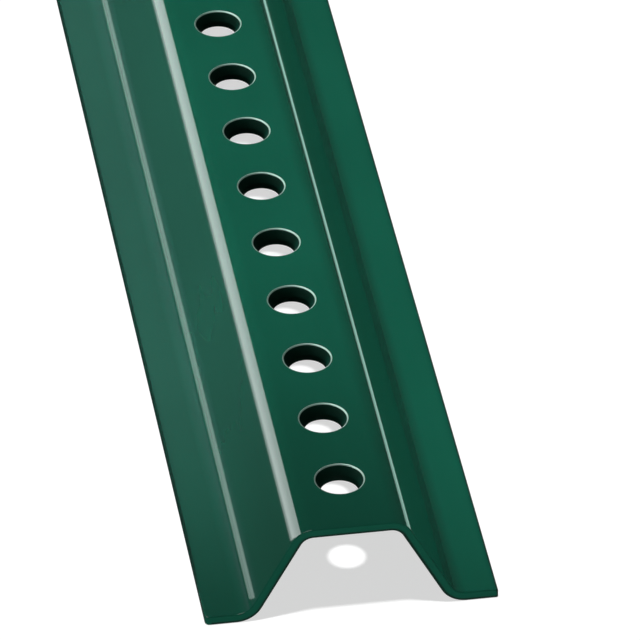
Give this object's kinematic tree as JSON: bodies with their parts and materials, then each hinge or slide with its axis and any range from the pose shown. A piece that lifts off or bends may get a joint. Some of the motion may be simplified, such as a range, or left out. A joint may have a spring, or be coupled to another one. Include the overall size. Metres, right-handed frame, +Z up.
{
  "type": "u-channel sign post",
  "caption": "Flanged U-channel sign post folded from one steel strip, green enamelled, with a row of drawn bolt holes down the middle of its web.",
  "frame": {"origin": "middle of the footprint, at floor level, with the post lying on its two flanges, web up", "axes": "+X across the section, +Y along the post away from the end nearest a hole, +Z up, out of the web's outer face"},
  "size_m": [0.0724, 0.9144, 0.026],
  "materials": {
    "green_enamel": "glossy baked enamel over steel"
  },
  "bodies": {
    "root": {"sign_post": "green_enamel"}
  },
  "joints": []
}
